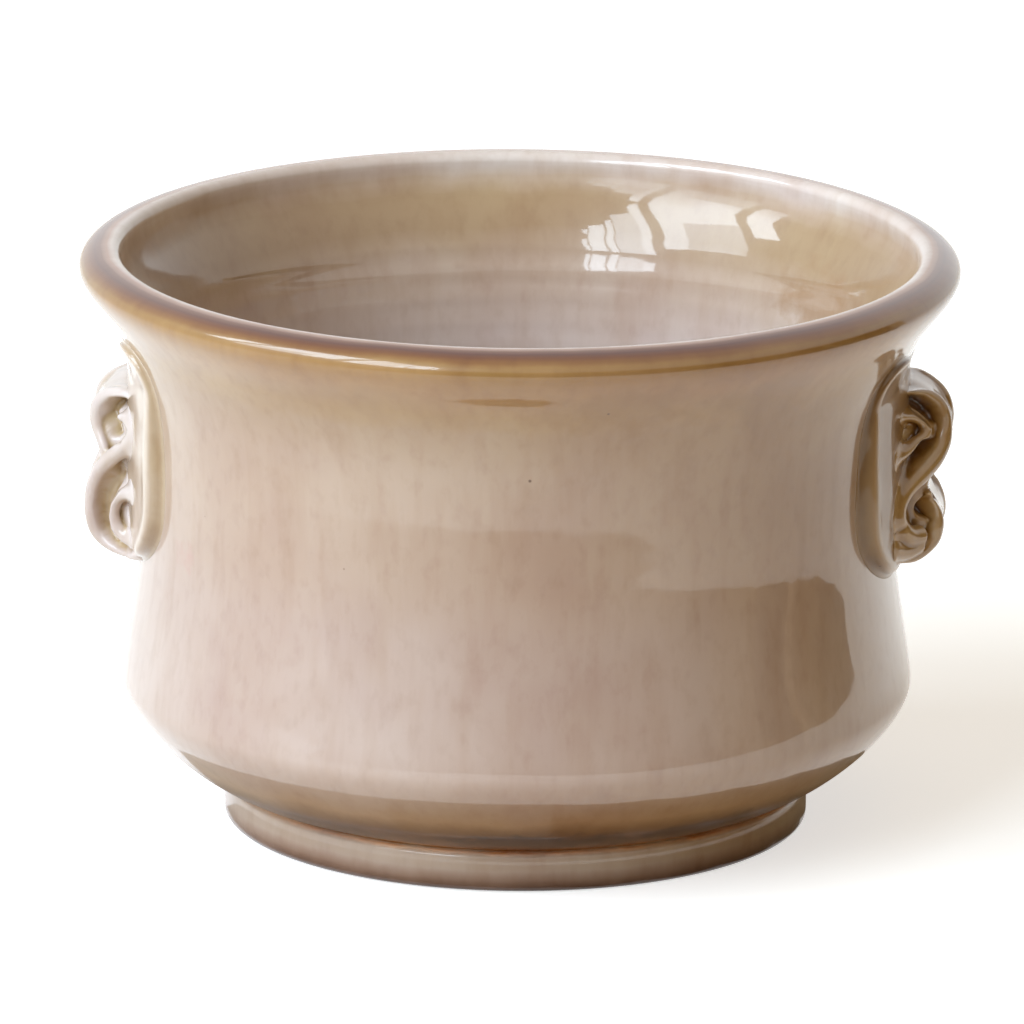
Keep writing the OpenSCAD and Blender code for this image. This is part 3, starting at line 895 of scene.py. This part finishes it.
# Floor, light and world. The floor's tint is what it gives back to the pot, and its paper colour is what is seen
stage = {
    "floorSize": 6, "floorTint": "#c8ac84", "paper": "#ececec", "paperGlow": 0.62,
    "worldDiffuse": 0.265, "worldTint": "#ffe0a4", "windowTint": "#daeaf8",
    # a window wall to the left: the way towards it from the pot, and its panes, as addPane takes them
    "windowWay": (-0.846, -0.533), "windowAway": 1.5,
    "panes": [
        (1.18, 0.98, 0.06, 0.76, 10), (1.02, 1.04, 0.21, 0.92, 10), (0.84, 1.08, 0.09, 1.06, 10),
        (0.64, 1.18, 0.28, 1.2, 7), (0.46, 1.3, 0.12, 1.4, 10), (-0.15, 1.75, 0.86, 0.8, 10),
        (0.155, 1.1, 0.25, 0.5, 10), (-0.275, 1.1, 0.61, 0.5, 5.4), (-0.88, 1.55, 0.34, 0.9, 10),
        (0.71, 0.185, 0.15, 0.2, 4.4),
    ],
    # the rest of the window's light, a little behind the panes, which doesn't show in the gloss
    "fill": (0.2, 1.2, 2.3, 1.4, 2.5), "fillBehind": 0.1,
}


# One for rays that reach the picture straight or by gloss, and zero for the light that they give back
def addSeen(tree, names):
    ray = addNode(tree, "LightPath")
    seen = ray.outputs[names[0]]
    for name in names[1:]:
        seen = addNode(tree, "Math", {"operation": "MAXIMUM"}, {0: seen, 1: ray.outputs[name]}).outputs[0]
    return seen


def addFloor():
    deselectAll()
    bpy.ops.mesh.primitive_plane_add(size=stage["floorSize"], location=(0, 0, -0.0002))
    floor = bpy.context.object
    floor.name = "studio_floor"
    material, tree = newMaterial("white_paper_floor")
    seen = addSeen(tree, ("Is Camera Ray", "Is Glossy Ray"))
    colours = {"data_type": "RGBA", 6: linear(stage["floorTint"]), 7: linear(stage["paper"])}
    tint = addNode(tree, "Mix", colours, {0: seen})
    paper = addNode(tree, "BsdfDiffuse", {}, {"Color": tint.outputs[2]})
    lit = addNode(tree, "Math", {"operation": "MULTIPLY", 1: stage["paperGlow"]}, {0: seen})
    glow = addNode(tree, "Emission", {"Color": (1, 1, 1, 1)}, {"Strength": lit.outputs[0]})
    both = addNode(tree, "AddShader", {}, {0: paper.outputs[0], 1: glow.outputs[0]})
    addNode(tree, "OutputMaterial", {}, {"Surface": both.outputs[0]})
    floor.data.materials.append(material)


def addWorld():
    world = bpy.data.worlds.new("studio")
    bpy.context.scene.world = world
    world.use_nodes = True
    tree = world.node_tree
    tree.nodes.clear()
    seen = addSeen(tree, ("Is Camera Ray", "Is Glossy Ray", "Is Transmission Ray"))
    strength = addNode(tree, "MapRange", {3: stage["worldDiffuse"], 4: 1.0}, {0: seen})
    tint = addNode(tree, "Mix", {"data_type": "RGBA", 6: linear(stage["worldTint"]), 7: (1, 1, 1, 1)}, {0: seen})
    sky = addNode(tree, "Background", {}, {"Strength": strength.outputs[0], "Color": tint.outputs[2]})
    addNode(tree, "OutputWorld", {}, {"Surface": sky.outputs[0]})


# An area light of the window: side and height in its wall, width and height, and brightness, where 1 is white
def addPane(name, pane, behind=0):
    along, height, wide, high, brightness = pane
    way = Vector((*stage["windowWay"], 0))
    side = Vector((-way.y, way.x, 0))
    place = way * (stage["windowAway"] + behind) + side * along + Vector((0, 0, height))
    deselectAll()
    bpy.ops.object.light_add(type="AREA", location=place)
    lamp = bpy.context.object
    lamp.name = name
    lamp.data.shape = "RECTANGLE"
    lamp.data.size, lamp.data.size_y = wide, high
    lamp.data.energy = brightness * math.pi * wide * high
    lamp.data.color = linear(stage["windowTint"])[:3]
    lamp.rotation_euler = (-way).to_track_quat("-Z", "Y").to_euler()
    lamp.visible_camera = False
    return lamp


def addWindow():
    for i, pane in enumerate(stage["panes"]):
        addPane("window_pane_" + str(i + 1), pane)
    addPane("window_fill", stage["fill"], stage["fillBehind"]).visible_glossy = False


# Cards that only gloss sees: the dim room beyond the table's edge, in upright stripes of furniture and shade.
# Each is a way round the pot from and to, how near its floor begins at both, and its colour.
room = {
    "farR": 1.3, "height": 0.4, "lift": 0.0004, "slope": 0.0001, "columns": 8,
    "cards": [
        (-142, -135, 0.31, 0.308, "#f0ece8"), (-135, -128, 0.308, 0.307, "#e0dbd6"),
        (-128, -121, 0.307, 0.306, "#cfc8c2"), (-121, -114, 0.306, 0.305, "#beb5ae"),
        (-114, -107, 0.305, 0.305, "#b0a69e"), (-107, -99, 0.305, 0.305, "#a4998f"),
        (-99, -75, 0.305, 0.303, "#9a8e84"), (-75, -57, 0.303, 0.301, "#a2948a"),
        (-57, -48, 0.302, 0.308, "#96847c"), (-48, -39, 0.31, 0.318, "#8c766c"),
        (-39, -30, 0.32, 0.326, "#4a3a34"), (-30, -16, 0.33, 0.34, "#94805f"),
        (-16, -5, 0.335, 0.346, "#302c24"), (-5, -2, 0.35, 0.35, "#c0a884"), (-2, 8, 0.342, 0.346, "#7e6c4c"),
        (8, 20.5, 0.35, 0.38, "#2a241a"), (20.5, 26, 0.54, 0.58, "#b8a484"),
    ],
    # shade on the table round the foot, which ends at shadeR
    "shadeR": 0.082,
    "footShade": [
        (-175, -140, 0.061, 0.061, "#ccc4b8"), (-140, -112, 0.061, 0.061, "#b8aea0"),
        (-112, -80, 0.061, 0.061, "#9c907e"), (-80, 70, 0.061, 0.061, "#6c5c46"),
    ],
}


def addCard(number, card, farR, height):
    start, end, nearStart, nearEnd, code = card
    material, tree = newMaterial("matt_card_" + str(number))
    paint = addNode(tree, "BsdfDiffuse", {"Color": (0, 0, 0, 1)})
    shade = addNode(tree, "Emission", {"Color": linear(code), "Strength": 1.0})
    both = addNode(tree, "AddShader", {}, {0: paint.outputs[0], 1: shade.outputs[0]})
    addNode(tree, "OutputMaterial", {}, {"Surface": both.outputs[0]})
    deselectAll()
    bpy.ops.mesh.primitive_grid_add(x_subdivisions=room["columns"], y_subdivisions=2, size=1)
    sheet = bpy.context.object
    sheet.name = "room_card_" + str(number)
    columns = room["columns"] + 1
    for k, vertex in enumerate(sheet.data.vertices):
        t = k % columns / room["columns"]
        way = math.radians(start + (end - start) * t)
        near = nearStart + (nearEnd - nearStart) * t
        far = room["lift"] + room["slope"]
        r, z = [(near, room["lift"]), (farR - 0.001, far), (farR, height or far)][k // columns]
        vertex.co = (r * math.cos(way), r * math.sin(way), z)
    sheet.data.materials.append(material)
    sheet.visible_camera = sheet.visible_diffuse = sheet.visible_shadow = sheet.visible_transmission = False


def addCards():
    for i, card in enumerate(room["cards"]):
        addCard(i + 1, card, room["farR"], room["height"])
    for i, card in enumerate(room["footShade"]):
        addCard(len(room["cards"]) + i + 1, card, room["shadeR"], 0)


addFloor()
addWorld()
addWindow()
addCards()
print("stage set")
